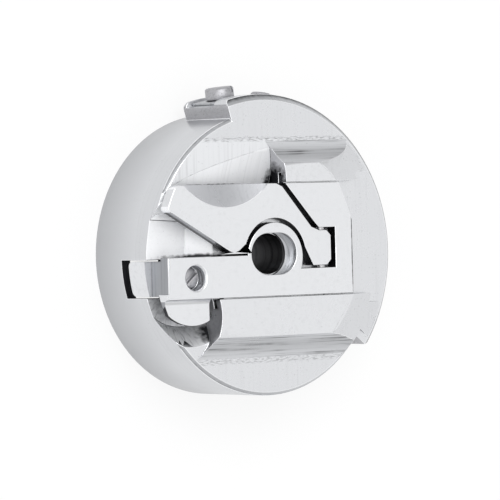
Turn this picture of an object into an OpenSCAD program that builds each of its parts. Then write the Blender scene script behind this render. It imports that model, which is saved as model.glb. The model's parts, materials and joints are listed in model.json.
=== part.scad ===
// Sewing machine bobbin case with a sliding latch and a hinged latch lever.
// The origin is the centre of the stud bore in the plane of the front face.
// +Z points out of the front face and +X runs along the slide towards its hinge.

/* [Drum] */
// Outer diameter of the drum
drum_d = 26.6; // [26.2:0.1:27.4]
// Depth from the front face to the open rim
drum_h = 9.15; // [8.8:0.05:11]
// Thickness of the side wall
wall_t = 1.0; // [0.8:0.05:1.2]
// Thickness of the front plate
plate_t = 2.8; // [2.6:0.1:3.2]
// Bevel round the front edge of the drum
drum_bevel = 0.3; // [0.2:0.05:0.4]
// Radius of the inside corner between plate and wall
inner_round = 0.5; // [0.3:0.1:0.8]

/* [Land] */
// How far the thick sector stands out from the drum
land_t = 1.7; // [1.5:0.1:2]
// Depth of the thick sector, measured back from the front face
land_h = 7.0; // [6.6:0.1:7.6]
// Angle where the thick sector starts
land_from = -38; // [-42:1:-36]
// Angle where the thick sector ends
land_to = 107; // [106:1:112]
// Radius of the sector's end corners
land_round = 0.7; // [0.4:0.1:1]
// Bevel on the front edge of the sector
land_bevel = 0.55; // [0.3:0.05:0.7]

/* [Stud tube] */
// Bore that runs on the hook's stud
stud_d = 3.8; // [3.6:0.05:4]
// Wall of the tube that the bobbin turns on
tube_wall = 1.0; // [0.8:0.05:1.1]
// How far the tube ends short of the rim
tube_short = 0.5; // [0.3:0.1:1]

/* [Rails] */
// Height of the two rails over the front face
rail_h = 1.2; // [1.1:0.05:1.5]
// Flat width of the upper rail
upper_rail_w = 1.75; // [1.4:0.05:2]
// Flat width of the lower rail
lower_rail_w = 3.6; // [3.2:0.1:3.8]
// Radius of the hollow outer flank of each rail
flank_r = 2.8; // [2.4:0.1:3.2]
// Radius on the face where the rail tops start to fall away
fall_r = 10.1; // [9.8:0.1:10.6]
// Angle of the turned fall at the rails' outer ends
fall_angle = 16; // [14:1:20]
// Depth of the groove under each rail, sideways
groove_w = 0.85; // [0.7:0.05:1]
// Height of the groove under each rail
groove_h = 0.45; // [0.4:0.05:0.55]

/* [Finger recess] */
// Plan radius of the wall that ends the recess
recess_r = 5.0; // [4.6:0.1:5.2]
// Centre of that wall along the slide
recess_x = -3.5; // [-3.8:0.1:-3.4]
// Centre of that wall across the slide
recess_y = 7.0; // [6.8:0.1:7.2]
// Radius of the hollow floor
recess_floor_r = 14; // [12:0.5:16]
// Greatest depth of the hollow floor
recess_depth = 1.9; // [1.5:0.1:2]
// Slope of the floor, deeper towards the wall
recess_slope = 7; // [6:0.5:8]

/* [Countersink] */
// Radius of the countersink at the face
sink_r = 6.4; // [6:0.1:6.6]
// Depth of its floor below the slide's lug
sink_depth = 1.9; // [1.6:0.1:2]
// Depth of its floor beside the lever
sink_depth_upper = 1.05; // [0.8:0.05:1.3]
// Plan radius of the lower rail's end wall
rail_end_r = 5.0; // [4.7:0.1:5.2]

/* [Slide] */
// Distance from the bore's axis to the slide's upper edge
slide_top = 6.6; // [6.5:0.05:6.8]
// Distance from the bore's axis to the slide's lower edge
slide_bottom = 3.95; // [3.9:0.05:4.1]
// Distance from the bore's axis to the slide's right end
slide_right = 9.3; // [9.1:0.1:9.5]
// Width of the arm
arm_w = 3.9; // [3.7:0.05:3.95]
// Radius of the eye round the stud slot
eye_r = 3.25; // [3.1:0.05:3.35]
// Length of the stud slot, end to end
stud_slot_l = 5.3; // [5.1:0.05:5.4]
// Radial room of the stud slot round the bore
stud_slot_gap = 0.05; // [0.03:0.01:0.1]
// Radial room of the slot's lower part, below the locking lip
lip_slot_gap = 0.18; // [0.16:0.01:0.25]
// Thickness of the locking lip
lip_t = 0.38; // [0.3:0.01:0.5]
// How far the locking lip reaches over the bore at rest
lock_reach = 0.15; // [0.1:0.05:0.25]
// Sideways gap between slide and rails
side_gap = 0.1; // [0.06:0.01:0.14]
// Gap between the slide and the face it runs on
floor_gap = 0.03; // [0.02:0.01:0.05]
// Travel of the slide when the lever opens
travel = 0.8; // [0.7:0.05:0.9]
// Radius of the lug below the arm
lug_r = 4.4; // [4.2:0.1:4.6]
// Thickness of the lug and of the flanges under the rails
flange_t = 0.38; // [0.34:0.01:0.39]

/* [Tongue] */
// Width of the tongue that drops over the drum's wall
tongue_w = 3.25; // [3:0.05:3.3]
// Distance from the front face to the tongue's tip
tongue_h = 3.95; // [3.6:0.05:4.2]
// Distance from the front face to the tongue's step
tongue_step = 1.45; // [1.3:0.05:1.6]
// How far the arm's end stands back from the drum's outside
arm_setback = 0.8; // [0.7:0.05:0.9]
// Depth of the notch in the drum's wall
notch_h = 5.0; // [4.7:0.1:5.3]
// Thickness of the tongue where it leaves the arm
tongue_t = 0.8; // [0.7:0.05:0.85]
// Gap on each side of the tongue
tongue_gap = 0.15; // [0.1:0.01:0.2]

/* [Latch lever] */
// Thickness of the lever
lever_t = 1.15; // [1.1:0.01:1.16]
// Gap between lever and slide all round
lever_gap = 0.4; // [0.35:0.01:0.45]
// Diameter of the hinge pin
pin_d = 0.8; // [0.7:0.05:0.85]
// Distance from the bore's axis to the hinge pin
pin_x = 5.9; // [5.8:0.05:6]
// Height of the hinge pin over the face
pin_z = 0.52; // [0.5:0.01:0.55]
// Radial clearance of the lever on its pin
pin_gap = 0.04; // [0.02:0.01:0.06]
// Reach of the toe below the pin
toe_reach = 1.0; // [0.9:0.02:1.04]
// Thickness of the toe
toe_t = 0.6; // [0.5:0.05:0.7]
// Depth of the nail scoop at the lever's upper edge
scoop_depth = 0.8; // [0.5:0.05:0.9]
// Plan radius of the nail scoop
scoop_r = 6.65; // [6.4:0.05:6.8]

/* [Stop screw] */
// Distance from the bore's axis to the screw, along the slide
stop_x = 9.3; // [9.2:0.05:9.4]
// Diameter of the screw's head
stop_head_d = 2.0; // [1.8:0.05:2.1]
// Diameter of the screw's thread
stop_thread_d = 1.4; // [1.2:0.05:1.5]
// How far the head stands into the arm
stop_head_up = 0.22; // [0.15:0.01:0.3]

/* [Latch spring] */
// Outer diameter of the latch spring
spring_d = 1.2; // [1:0.05:1.3]
// Diameter of its wire
spring_wire = 0.2; // [0.18:0.02:0.24]
// Length of the spring as fitted
spring_l = 6.0; // [5.4:0.1:6.2]
// Number of turns
spring_turns = 12; // [9:1:14]

/* [Tension spring] */
// Thickness of the leaf
leaf_t = 0.25; // [0.2:0.01:0.3]
// Width of the leaf
leaf_w = 4.0; // [3.6:0.1:4.2]
// Angle where the leaf's finger ends
leaf_from = 24; // [22:1:30]
// Angle where the leaf starts
leaf_to = 104; // [102:1:105]
// Depth of the seat milled in the sector
seat_depth = 0.5; // [0.4:0.05:0.6]
// Width of the finger at the leaf's free end
finger_w = 1.8; // [1.4:0.1:2.2]

/* [Tension screws] */
// Angle of the adjusting screw
adjust_at = 97; // [95:1:97]
// Head diameter of the adjusting screw
adjust_head_d = 2.7; // [2.5:0.1:2.9]
// Head height of the adjusting screw
adjust_head_h = 1.1; // [0.9:0.05:1.3]
// Angle of the fixing screw
fixing_at = 78; // [76:1:80]
// Head diameter of the fixing screw
fixing_head_d = 2.2; // [2:0.1:2.3]
// Head height of the fixing screw
fixing_head_h = 0.7; // [0.5:0.05:0.8]
// Thread diameter of both screws
tension_thread_d = 1.4; // [1.2:0.05:1.5]
// Radial clearance of the adjusting screw's thread
thread_gap = 0.04; // [0.02:0.01:0.06]

/* [Thread slit] */
// Angle of the slit in the side wall
slit_at = 52; // [48:1:56]
// Width of the slit
slit_w = 0.6; // [0.5:0.05:0.8]

/* [Hidden] */
$fn = 96;

// Cuts run this far past the faces that they open
past = 0.5;
// Half turns and long cuts reach this far
far = 20;

drum_r = drum_d / 2;
inner_r = drum_r - wall_t;
land_r = drum_r + land_t;
bore_r = stud_d / 2;
tube_r = bore_r + tube_wall;
tube_end = drum_h - tube_short;
tube_bevel = 0.2;

upper_edge = slide_top + side_gap;
lower_edge = slide_bottom + side_gap;
flank_run = sqrt(pow(flank_r, 2) - pow(flank_r - rail_h, 2));

arm_top = arm_w - slide_bottom;
arm_end = drum_r - arm_setback;
screw_y = (arm_top - slide_bottom) / 2;
slide_z = floor_gap;
slide_t = rail_h - floor_gap;
flange_gap = 0.05;
flange_w = groove_w - side_gap - flange_gap;
flange_inset = 0.4;
slot_r = bore_r + stud_slot_gap;
lip_slot_r = bore_r + lip_slot_gap;
slot_shift = 0.15;
slot_left = -stud_slot_l / 2 - slot_shift;
slot_right = stud_slot_l / 2 - slot_shift;
lip_x = bore_r - lock_reach;
rail_end_x = -11.4;
rail_end_y = -5.5;
rail_left = rail_end_x + rail_end_r;
lug_gap = 0.2;
lug_right = rail_left - travel - lug_gap;

eye_y = -0.3;
foot_top = 2.1;
foot_bottom = -1.2;
foot_right = 6.65;
foot_room = 0.25;
foot_end_room = 0.55;
pocket_right = foot_right + foot_end_room;
arch_r = eye_r + lever_gap;
lever_z = rail_h - lever_t;

// Bends of the sloping gap between lever and slide, and of the slide's cut corner
gap_top_x = 1.35;
gap_bend = [4.75, 2.85];
foot_left = 5.25;
slide_corner = [1.5, 3.6];

// Bends of the lever's outline: its point, its left end and the curve up to the arch
lever_point = [-5.05, 0.2];
lever_left = [-11.7, 3.95];
lever_chin = [-4.4, 0.2];
lever_throat = [-3.5, 0.9];

pin_start = 0.3 - slide_bottom;
pin_end = 3.55;
pin_end_gap = 0.05;
pin_fit = 0.005;

spring_r = spring_d / 2;
spring_room = 0.08;
spring_end_gap = 0.05;
spring_y = -(slide_bottom + lip_slot_r) / 2;
spring_z = 0.1;
spring_left = -5.0;
spring_right = spring_left + spring_l;

stop_seat = 0.6;
stop_seat_gap = 0.06;
stop_thread_l = 2.0;
thread_fit = 0.005;

seat_r = land_r - seat_depth;
leaf_gap = 0.15;
leaf_margin = 0.45;
leaf_z = -(land_h - leaf_margin - leaf_gap - leaf_w / 2);
leaf_lift = 0.01;
head_lift = 0.03;
head_r = seat_r + leaf_lift + leaf_t + head_lift;
screw_reach = head_r - inner_r - 0.1;

// A flat plate cut to an outline, between two heights
module plate(z0, z1, points) {
    translate([0, 0, z0]) linear_extrude(z1 - z0) polygon(points);
}

// A block given by its two corners
module block(low, high) {
    translate(low) cube(high - low);
}

// A round hole or peg along Z, between two heights
module peg(x, y, r, z0, z1) {
    translate([x, y, z0]) cylinder(r = r, h = z1 - z0);
}

// A slot with round ends along X
module long_slot(x0, x1, y, r, z0, z1) {
    peg(x0 + r, y, r, z0, z1);
    peg(x1 - r, y, r, z0, z1);
    block([x0 + r, y - r, z0], [x1 - r, y + r, z1]);
}

// Puts its children on the drum's side, with +Z pointing outwards
module on_side(angle, z) {
    rotate([0, 0, angle]) translate([0, 0, z]) rotate([0, 90, 0]) children();
}

// The drum, its plate and the stud tube as one turned profile
module turned_body() {
    rotate_extrude() polygon([
        [bore_r, 0],
        [drum_r - drum_bevel, 0],
        [drum_r, -drum_bevel],
        [drum_r, -drum_h],
        [inner_r, -drum_h],
        [inner_r, -plate_t - inner_round],
        [inner_r - inner_round, -plate_t],
        [tube_r, -plate_t],
        [tube_r, -tube_end + tube_bevel],
        [tube_r - tube_bevel, -tube_end],
        [bore_r, -tube_end]
    ]);
}

// The thick sector of the wall, with rounded end corners
module land() {
    inside = drum_r - wall_t / 2;
    back_bevel = 0.3;
    difference() {
        rotate([0, 0, land_from]) rotate_extrude(angle = land_to - land_from) polygon([
            [inside, 0],
            [land_r - land_bevel, 0],
            [land_r, -land_bevel],
            [land_r, -land_h + back_bevel],
            [land_r - back_bevel, -land_h],
            [inside, -land_h]
        ]);
        rotate([0, 0, land_from]) land_corner();
        rotate([0, 0, land_to]) mirror([0, 1, 0]) land_corner();
    }
}

// What the rounding takes off one end corner of the sector
module land_corner() {
    difference() {
        block([land_r - land_round, -past, -land_h - past], [land_r + past, land_round, past]);
        peg(land_r - land_round, land_round, land_round, -land_h - far, far);
    }
}

// One rail with its hollow flank and the groove underneath, for the side that sign names
module rail(sign, edge, flat_w) {
    runout = edge + flat_w + flank_run;
    mirror([0, sign > 0 ? 0 : 1, 0]) difference() {
        block([-far, edge, -past], [far, runout, rail_h]);
        translate([-far, runout, flank_r]) rotate([0, 90, 0]) cylinder(r = flank_r, h = 2 * far);
    }
}

// The space that the rails may fill: inside the outline and under the turned fall
module rail_envelope() {
    fall_end = fall_r + rail_h / tan(fall_angle);
    end_room = 3;
    intersection() {
        rotate_extrude() polygon([
            [0, -past],
            [fall_end, -past],
            [fall_end, 0],
            [fall_r, rail_h],
            [0, rail_h]
        ]);
        union() {
            cylinder(r = drum_r - drum_bevel, h = far, center = true);
            rotate([0, 0, land_from + end_room]) rotate_extrude(angle = land_to - land_from - 2 * end_room)
                polygon([[0, -past], [land_r - land_bevel, -past], [land_r - land_bevel, far], [0, far]]);
        }
    }
}

// Plan of the finger recess, open to the left
module recess_plan(z0, z1) {
    peg(recess_x, recess_y, recess_r, z0, z1);
    block([-far, recess_y - recess_r, z0], [recess_x, recess_y + recess_r, z1]);
}

// Plan of the lower rail's end wall, open to the left and cut off under the arm
module rail_end_plan(z0, z1) {
    intersection() {
        union() {
            peg(rail_end_x, rail_end_y, rail_end_r, z0, z1);
            block([-far, rail_end_y - rail_end_r, z0], [rail_end_x, 0, z1]);
        }
        block([-far, -far, z0], [far, past / 2 - slide_bottom, z1]);
    }
}

// The finger recess: the upper rail's end wall and the hollow floor in front of it
module finger_recess() {
    floor_y = 3;
    eye_room = 0.15;
    intersection() {
        recess_plan(-plate_t, far);
        union() {
            block([-far, -far, 0], [far, far, far]);
            intersection() {
                block([-far, eye_r + eye_room, -plate_t], [far, far, far]);
                translate([recess_x + recess_r, floor_y, recess_floor_r - recess_depth])
                    rotate([0, -90 + recess_slope, 0])
                    translate([0, 0, -far / 2]) cylinder(r = recess_floor_r, h = 2 * far);
            }
        }
    }
}

// A countersink round the stop screw, down to a flat floor
module countersink(depth) {
    translate([-stop_x, screw_y, 0]) rotate_extrude() polygon([
        [0, past],
        [sink_r + past, past],
        [sink_r - depth, -depth],
        [0, -depth]
    ]);
}

// The part of the countersink below the arm, with the lower rail's end wall
module lower_countersink() {
    intersection() {
        rail_end_plan(-plate_t, far);
        union() {
            block([-far, -far, 0], [far, far, far]);
            countersink(sink_depth);
        }
    }
}

// The part of the countersink beside the lever
module upper_countersink() {
    sink_end = -6.5;
    intersection() {
        countersink(sink_depth_upper);
        block([-far, arm_top - past, -plate_t], [sink_end, far, past]);
    }
}

// The notch in plate and wall that the tongue moves in
module tongue_notch() {
    half = tongue_w / 2 + tongue_gap;
    inner = arm_end - tongue_t - travel - tongue_gap;
    block([-far, screw_y - half, -notch_h], [-inner, screw_y + half, past]);
}

// The floor pocket for the lever's foot and toe
module toe_pocket() {
    room = 0.15;
    left_room = 0.2;
    right_room = 0.85;
    block([pin_x - toe_t / 2 - left_room, foot_bottom - room, pin_z - toe_reach - toe_t / 2 - room],
        [foot_right + right_room, foot_top + room, past]);
}

// Half of the round groove for the latch spring
module spring_groove(x0, x1) {
    translate([x0, spring_y, spring_z]) rotate([0, 90, 0])
        cylinder(r = spring_r + spring_room, h = x1 - x0);
}

// The slit that the thread is drawn through, from the rim to under the leaf
module thread_slit() {
    rotate([0, 0, slit_at])
        block([inner_r - past, -slit_w / 2, -drum_h - past], [land_r + past, slit_w / 2, leaf_z + slit_w]);
}

// The shallow seat of the tension spring
module leaf_seat() {
    end_room = 2;
    low = leaf_z - leaf_w / 2 - leaf_gap;
    high = leaf_z + leaf_w / 2 + leaf_gap;
    rotate([0, 0, leaf_from - end_room]) rotate_extrude(angle = land_to - leaf_from + 2 * end_room)
        polygon([[seat_r, low], [land_r + past, low], [land_r + past, high], [seat_r, high]]);
}

// The case itself, machined from one piece
module case_shell() {
    color("gainsboro") difference() {
        union() {
            turned_body();
            land();
            difference() {
                intersection() {
                    rail_envelope();
                    union() {
                        rail(1, upper_edge, upper_rail_w);
                        rail(-1, lower_edge, lower_rail_w);
                    }
                }
                block([-far, upper_edge - groove_w, 0], [far, upper_edge + groove_w, groove_h]);
                block([-far, -lower_edge - groove_w, 0], [far, -lower_edge + groove_w, groove_h]);
            }
        }
        finger_recess();
        lower_countersink();
        upper_countersink();
        tongue_notch();
        toe_pocket();
        spring_groove(spring_left - spring_end_gap, spring_right);
        peg(-stop_x, screw_y, stop_head_d / 2 + stop_seat_gap, -stop_seat, past);
        peg(-stop_x, screw_y, stop_thread_d / 2, -plate_t - past, past);
        thread_slit();
        leaf_seat();
        on_side(adjust_at, leaf_z) cylinder(d = tension_thread_d + 2 * thread_gap, h = far);
        on_side(fixing_at, leaf_z) cylinder(d = tension_thread_d, h = far);
    }
}

// The plate that locks on the stud, with its eye, arm, flanges, lug and tongue
module slide_plate() {
    top = slide_z + slide_t;
    color("silver") difference() {
        union() {
            block([-arm_end, -slide_bottom, slide_z], [slide_right, foot_bottom - foot_room, top]);
            block([-arm_end, -slide_bottom, slide_z], [0, arm_top, top]);
            intersection() {
                peg(0, eye_y, eye_r, slide_z, top);
                block([-far, -slide_bottom, 0], [far, far, top]);
            }
            plate(slide_z, top, [
                [pocket_right, foot_bottom - foot_room - 0.1],
                [slide_right, foot_bottom - foot_room - 0.1],
                [slide_right, slide_top - slide_corner[1]],
                [slide_right - slide_corner[0], slide_top],
                [gap_top_x, slide_top],
                gap_bend,
                [foot_left, foot_top + foot_room],
                [pocket_right, foot_top + foot_room]
            ]);
            block([gap_top_x + flange_inset, slide_top - past, slide_z],
                [slide_right - slide_corner[0] - flange_inset, slide_top + flange_w, slide_z + flange_t]);
            block([rail_left + travel, -slide_bottom - flange_w, slide_z],
                [slide_right - flange_inset, -slide_bottom + past, slide_z + flange_t]);
            lug();
            tongue();
        }
        long_slot(slot_left, slot_right, 0, slot_r, slide_z + lip_t, top + past);
        long_slot(slot_left, lip_x, 0, lip_slot_r, -past, slide_z + lip_t);
        arm_screw_slot();
        spring_groove(spring_left, spring_right + spring_end_gap);
        pin_hole(pin_d / 2, -slide_bottom - flange_w - past, pin_end + pin_end_gap);
    }
}

// The quarter disc below the arm, with the hollow step up to the arm
module lug() {
    step = 0.62;
    plate_top = slide_z + flange_t + 0.1;
    drum_room = 0.05;
    intersection() {
        union() {
            peg(-stop_x, screw_y, lug_r, slide_z, plate_top);
            difference() {
                block([-far, -slide_bottom - step, slide_z], [lug_right, -slide_bottom + past, plate_top + step]);
                translate([-far, -slide_bottom - step, plate_top + step])
                    rotate([0, 90, 0]) cylinder(r = step, h = 2 * far);
            }
        }
        block([-far, -far, 0], [lug_right, past - slide_bottom, rail_h]);
        cylinder(r = drum_r - drum_room, h = far, center = true);
        peg(-stop_x, screw_y, lug_r, 0, rail_h);
    }
}

// The tongue that drops over the wall at the arm's end
module tongue() {
    low = screw_y - tongue_w / 2;
    high = screw_y + tongue_w / 2;
    tip_round = 0.5;
    foot_overlap = 0.4;
    drum_room = 0.02;
    intersection() {
        union() {
            block([-arm_end, low, -tongue_step - foot_overlap], [-arm_end + tongue_t, high, slide_z + past]);
            block([-far, low, -tongue_h], [-arm_end + tongue_t / 2, high, -tongue_step]);
        }
        cylinder(r = drum_r - drum_room, h = far, center = true);
        union() {
            block([-far, low, -tongue_h + tip_round], [far, high, rail_h]);
            block([-far, low + tip_round, -tongue_h], [far, high - tip_round, rail_h]);
            for (y = [low + tip_round, high - tip_round])
                translate([-far, y, -tongue_h + tip_round]) rotate([0, 90, 0])
                    cylinder(r = tip_round, h = 2 * far);
        }
    }
}

// The access hole through the arm and the slot under it that the screw's head stops
module arm_screw_slot() {
    room = 0.1;
    rim = 0.3;
    r = stop_head_d / 2 + room;
    peg(-stop_x, screw_y, r, -past, rail_h + past);
    long_slot(-stop_x - r - travel - room, -stop_x + r, screw_y, r, -past, stop_head_up + room);
    translate([-stop_x, screw_y, rail_h + room - rim]) cylinder(r1 = r, r2 = r + rim, h = rim);
}

// A hole along the hinge axis, between two places across the slide
module pin_hole(r, y0, y1) {
    translate([pin_x, y0, pin_z]) rotate([-90, 0, 0]) cylinder(r = r, h = y1 - y0);
}

// The lever that opens the latch
module latch_lever() {
    neck = gap_bend - [lever_gap, lever_gap];
    corner = 0.5;
    foot_l = 2.15;
    edge_room = 0.15;
    color("whitesmoke") difference() {
        union() {
            intersection() {
                plate(lever_z, rail_h, [
                    lever_point,
                    lever_left,
                    [-drum_r, lever_left[1] + 0.75],
                    [-drum_r, slide_top - corner],
                    [-drum_r + 1.7, slide_top],
                    [gap_top_x - 1.05, slide_top],
                    [gap_top_x - 0.35, slide_top - 0.3],
                    neck,
                    [foot_left, foot_top],
                    [foot_right - corner, foot_top],
                    [foot_right, foot_top - corner],
                    [foot_right, foot_bottom + corner],
                    [foot_right - corner, foot_bottom],
                    [foot_right - foot_l, foot_bottom],
                    [eye_r, 1.1],
                    lever_throat,
                    lever_chin
                ]);
                cylinder(r = drum_r - edge_room, h = far, center = true);
            }
            toe();
        }
        peg(0, eye_y, arch_r, -past, rail_h + past);
        pin_hole(pin_d / 2 + pin_gap, -far, far);
        nail_scoop();
    }
}

// The toe under the pin that pushes on the case
module toe() {
    inset = 0.2;
    low = foot_bottom + inset;
    high = foot_top - inset;
    block([pin_x - toe_t / 2, low, pin_z - toe_reach], [pin_x + toe_t / 2, high, pin_z]);
    translate([pin_x, low, pin_z - toe_reach]) rotate([-90, 0, 0]) cylinder(d = toe_t, h = high - low);
}

// The hollow for the fingernail, a shallow cone that opens at the upper edge
module nail_scoop() {
    scoop_x = -5.6;
    sagitta = 2.2;
    reach = scoop_r - sagitta;
    fall = scoop_depth / sagitta;
    translate([scoop_x, slide_top + reach, 0]) rotate_extrude() polygon([
        [0, rail_h + past],
        [scoop_r + past / fall, rail_h + past],
        [scoop_r, rail_h],
        [reach - 1, rail_h - scoop_depth - fall],
        [0, rail_h - scoop_depth - fall]
    ]);
}

// The pin that the lever turns on
module hinge_pin() {
    color("darkgray") pin_hole(pin_d / 2 - pin_fit, pin_start, pin_end);
}

// Points of one ring of the coil, at a given turn
function coil_point(turn, side, sides) =
    let (angle = 360 * turn, a = 360 * side / sides, r = spring_r - spring_wire / 2,
        rr = r + spring_wire / 2 * cos(a))
    [turn / spring_turns * (spring_l - spring_wire - 2 * spring_end_gap) + spring_wire / 2
        + spring_end_gap + spring_wire / 2 * sin(a), rr * cos(angle), rr * sin(angle)];

// The spring that pushes the slide to its lock
module latch_spring() {
    sides = 6;
    per_turn = 14;
    rings = spring_turns * per_turn;
    points = [for (i = [0:rings], s = [0:sides - 1]) coil_point(i / per_turn, s, sides)];
    walls = [for (i = [0:rings - 1], s = [0:sides - 1])
        [i * sides + s, (i + 1) * sides + s, (i + 1) * sides + (s + 1) % sides, i * sides + (s + 1) % sides]];
    start = [for (s = [0:sides - 1]) s];
    end = [for (s = [sides - 1:-1:0]) rings * sides + s];
    color("dimgray") translate([spring_left, spring_y, spring_z])
        polyhedron(points, concat([start, end], walls), convexity = 10);
}

// A slotted screw with its head up and its thread down, standing at the origin
module slotted_screw(head_d, head_h, thread_d, thread_l, slot_w, slot_depth, slot_turn) {
    bevel = 0.15;
    difference() {
        union() {
            translate([0, 0, head_h - bevel]) cylinder(d1 = head_d, d2 = head_d - 2 * bevel, h = bevel);
            cylinder(d = head_d, h = head_h - bevel);
            translate([0, 0, -thread_l]) cylinder(d = thread_d, h = thread_l + 0.1);
        }
        rotate([0, 0, slot_turn]) translate([-head_d, -slot_w / 2, head_h - slot_depth])
            cube([2 * head_d, slot_w, slot_depth + past]);
    }
}

// The small screw whose head stops the slide
module stop_screw() {
    slot_w = 0.35;
    slot_turn = 40;
    color("gray") translate([-stop_x, screw_y, -stop_seat])
        slotted_screw(stop_head_d, stop_head_up + stop_seat, stop_thread_d - 2 * thread_fit, stop_thread_l,
            slot_w, slot_w, slot_turn);
}

// The curved leaf that brakes the thread, with holes for its two screws
module tension_spring() {
    finger_turn = 16;
    adjust_room = 0.3;
    fixing_room = 0.1;
    color("lightgray") difference() {
        union() {
            leaf_band(leaf_from + finger_turn, leaf_to, leaf_w);
            leaf_band(leaf_from, leaf_from + finger_turn + 1, finger_w);
        }
        on_side(adjust_at, leaf_z) cylinder(d = tension_thread_d + adjust_room, h = far);
        on_side(fixing_at, leaf_z) cylinder(d = tension_thread_d + fixing_room, h = far);
    }
}

// A curved strip on the seat, between two angles
module leaf_band(from, to, w) {
    inside = seat_r + leaf_lift;
    rotate([0, 0, from]) rotate_extrude(angle = to - from) polygon([
        [inside, leaf_z - w / 2],
        [inside + leaf_t, leaf_z - w / 2],
        [inside + leaf_t, leaf_z + w / 2],
        [inside, leaf_z + w / 2]
    ]);
}

// The screw that sets the thread tension
module tension_adjusting_screw() {
    slot_w = 0.55;
    slot_depth = 0.6;
    slot_turn = 35;
    color("silver") on_side(adjust_at, leaf_z) translate([0, 0, head_r])
        slotted_screw(adjust_head_d, adjust_head_h, tension_thread_d, screw_reach,
            slot_w, slot_depth, slot_turn);
}

// The screw that holds the leaf
module tension_fixing_screw() {
    slot_w = 0.4;
    slot_depth = 0.35;
    slot_turn = 20;
    color("gray") on_side(fixing_at, leaf_z) translate([0, 0, head_r])
        slotted_screw(fixing_head_d, fixing_head_h, tension_thread_d - 2 * thread_fit, screw_reach,
            slot_w, slot_depth, slot_turn);
}

case_shell();
slide_plate();
latch_lever();
hinge_pin();
latch_spring();
stop_screw();
tension_spring();
tension_adjusting_screw();
tension_fixing_screw();
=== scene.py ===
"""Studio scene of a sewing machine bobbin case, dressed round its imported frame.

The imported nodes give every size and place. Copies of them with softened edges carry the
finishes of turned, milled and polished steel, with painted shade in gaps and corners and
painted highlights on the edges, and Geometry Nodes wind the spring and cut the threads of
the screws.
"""
import json
import logging
import math
from collections.abc import Callable
from dataclasses import dataclass
from enum import Enum

import bmesh
import bpy
from mathutils import Matrix, Vector

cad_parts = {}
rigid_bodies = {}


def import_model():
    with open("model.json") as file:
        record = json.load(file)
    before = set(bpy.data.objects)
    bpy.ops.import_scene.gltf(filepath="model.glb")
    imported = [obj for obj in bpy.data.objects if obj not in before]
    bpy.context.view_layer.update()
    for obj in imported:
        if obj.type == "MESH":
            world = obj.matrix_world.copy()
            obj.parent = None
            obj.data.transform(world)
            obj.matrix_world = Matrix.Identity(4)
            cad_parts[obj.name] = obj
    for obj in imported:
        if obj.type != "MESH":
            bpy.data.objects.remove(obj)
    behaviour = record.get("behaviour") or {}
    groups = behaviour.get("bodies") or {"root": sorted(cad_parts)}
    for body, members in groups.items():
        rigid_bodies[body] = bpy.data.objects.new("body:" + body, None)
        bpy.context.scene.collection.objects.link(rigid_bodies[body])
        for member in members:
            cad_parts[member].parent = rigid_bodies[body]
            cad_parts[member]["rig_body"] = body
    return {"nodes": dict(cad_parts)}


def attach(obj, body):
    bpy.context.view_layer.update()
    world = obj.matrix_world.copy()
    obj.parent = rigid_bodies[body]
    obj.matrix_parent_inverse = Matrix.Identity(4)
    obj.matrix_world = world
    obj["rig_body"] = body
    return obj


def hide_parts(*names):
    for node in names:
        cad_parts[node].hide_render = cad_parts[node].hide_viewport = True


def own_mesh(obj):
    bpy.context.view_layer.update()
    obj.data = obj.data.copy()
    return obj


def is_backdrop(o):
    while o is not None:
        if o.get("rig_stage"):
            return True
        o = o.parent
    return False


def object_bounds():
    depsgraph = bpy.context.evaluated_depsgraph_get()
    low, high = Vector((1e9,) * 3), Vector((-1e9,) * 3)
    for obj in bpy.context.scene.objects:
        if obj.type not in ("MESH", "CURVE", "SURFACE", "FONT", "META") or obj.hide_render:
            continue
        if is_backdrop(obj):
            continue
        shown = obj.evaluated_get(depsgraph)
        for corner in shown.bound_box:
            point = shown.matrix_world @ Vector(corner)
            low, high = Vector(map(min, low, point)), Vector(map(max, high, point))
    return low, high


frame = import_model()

MM = 0.001
TOLERANCE = 0.01 * MM
FACET_STEP = 1.6 * 8 * TOLERANCE
SMOOTH_TURN = math.radians(3)
FLAT_TURN = math.radians(0.4)
CREASE_TURN = math.radians(50)
# Colour of real dirt in tool marks and specks, and also of the painted shade films and patches.
DIRT_AND_SHADE_COLOUR = (0.02, 0.021, 0.024, 1.0)
RAY_SPREAD = (5 * MM, 5 * MM, 0.0)
SHALLOW = 0.98
SLOPING = (0.3, 0.95)
SOFTENED = "softened"

log = logging.getLogger("bobbin_case")


class Grain(Enum):
    """How the tool ran over a surface, which sets the way of its marks."""

    RINGS = "turned rings round an axis"
    ALONG_X = "strokes along the slide"
    ALONG_Y = "strokes across the slide"
    DOWN_Y = "strokes across the slide, down a slope"
    RAYS = "strokes towards an axis"
    CLOUDS = "no way at all, as tumbling leaves it"


class Region(Enum):
    """The surfaces that were finished in different ways."""

    FACE = "flat face"
    EDGE = "softened edge"
    FLANK = "hollow flank of a rail"
    RAIL = "rail top"
    RECESS = "finger recess"
    RECESS_TOP = "level part of the finger recess"
    END_WALL = "end wall of a rail"
    SINK = "countersink"
    WALL = "side wall"
    STEP = "end of the land"
    BORE = "stud bore"
    INSIDE = "inside of the cup"
    GAP = "wall of a narrow gap"
    SCOOP = "nail scoop"
    ARM_END = "step at the arm's end"
    OPEN_END = "open end of a moving piece"
    TONGUE = "tongue over the drum's wall"
    EYE = "wall of the eye"
    SHOULDER = "floor beside the lever's point"
    RIM = "bevel round the drum's face"


STRETCH = {
    Grain.ALONG_X: (0.02, 1.0, 1.0),
    Grain.ALONG_Y: (1.0, 0.02, 1.0),
    Grain.DOWN_Y: (1.0, 0.02, 0.03),
    Grain.CLOUDS: (1.0, 1.0, 1.0),
}
DULL_EDGES = {Region.BORE: Region.GAP, Region.GAP: Region.GAP, Region.SHOULDER: Region.SHOULDER}


@dataclass(frozen=True)
class PaintedShadeFilm:
    """Painted shade that darkens a surface below a height.

    Args:
        full: Height below which the film is full, in metres.
        gone: Height above which there is none, in metres.
    """

    full: float
    gone: float


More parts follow.
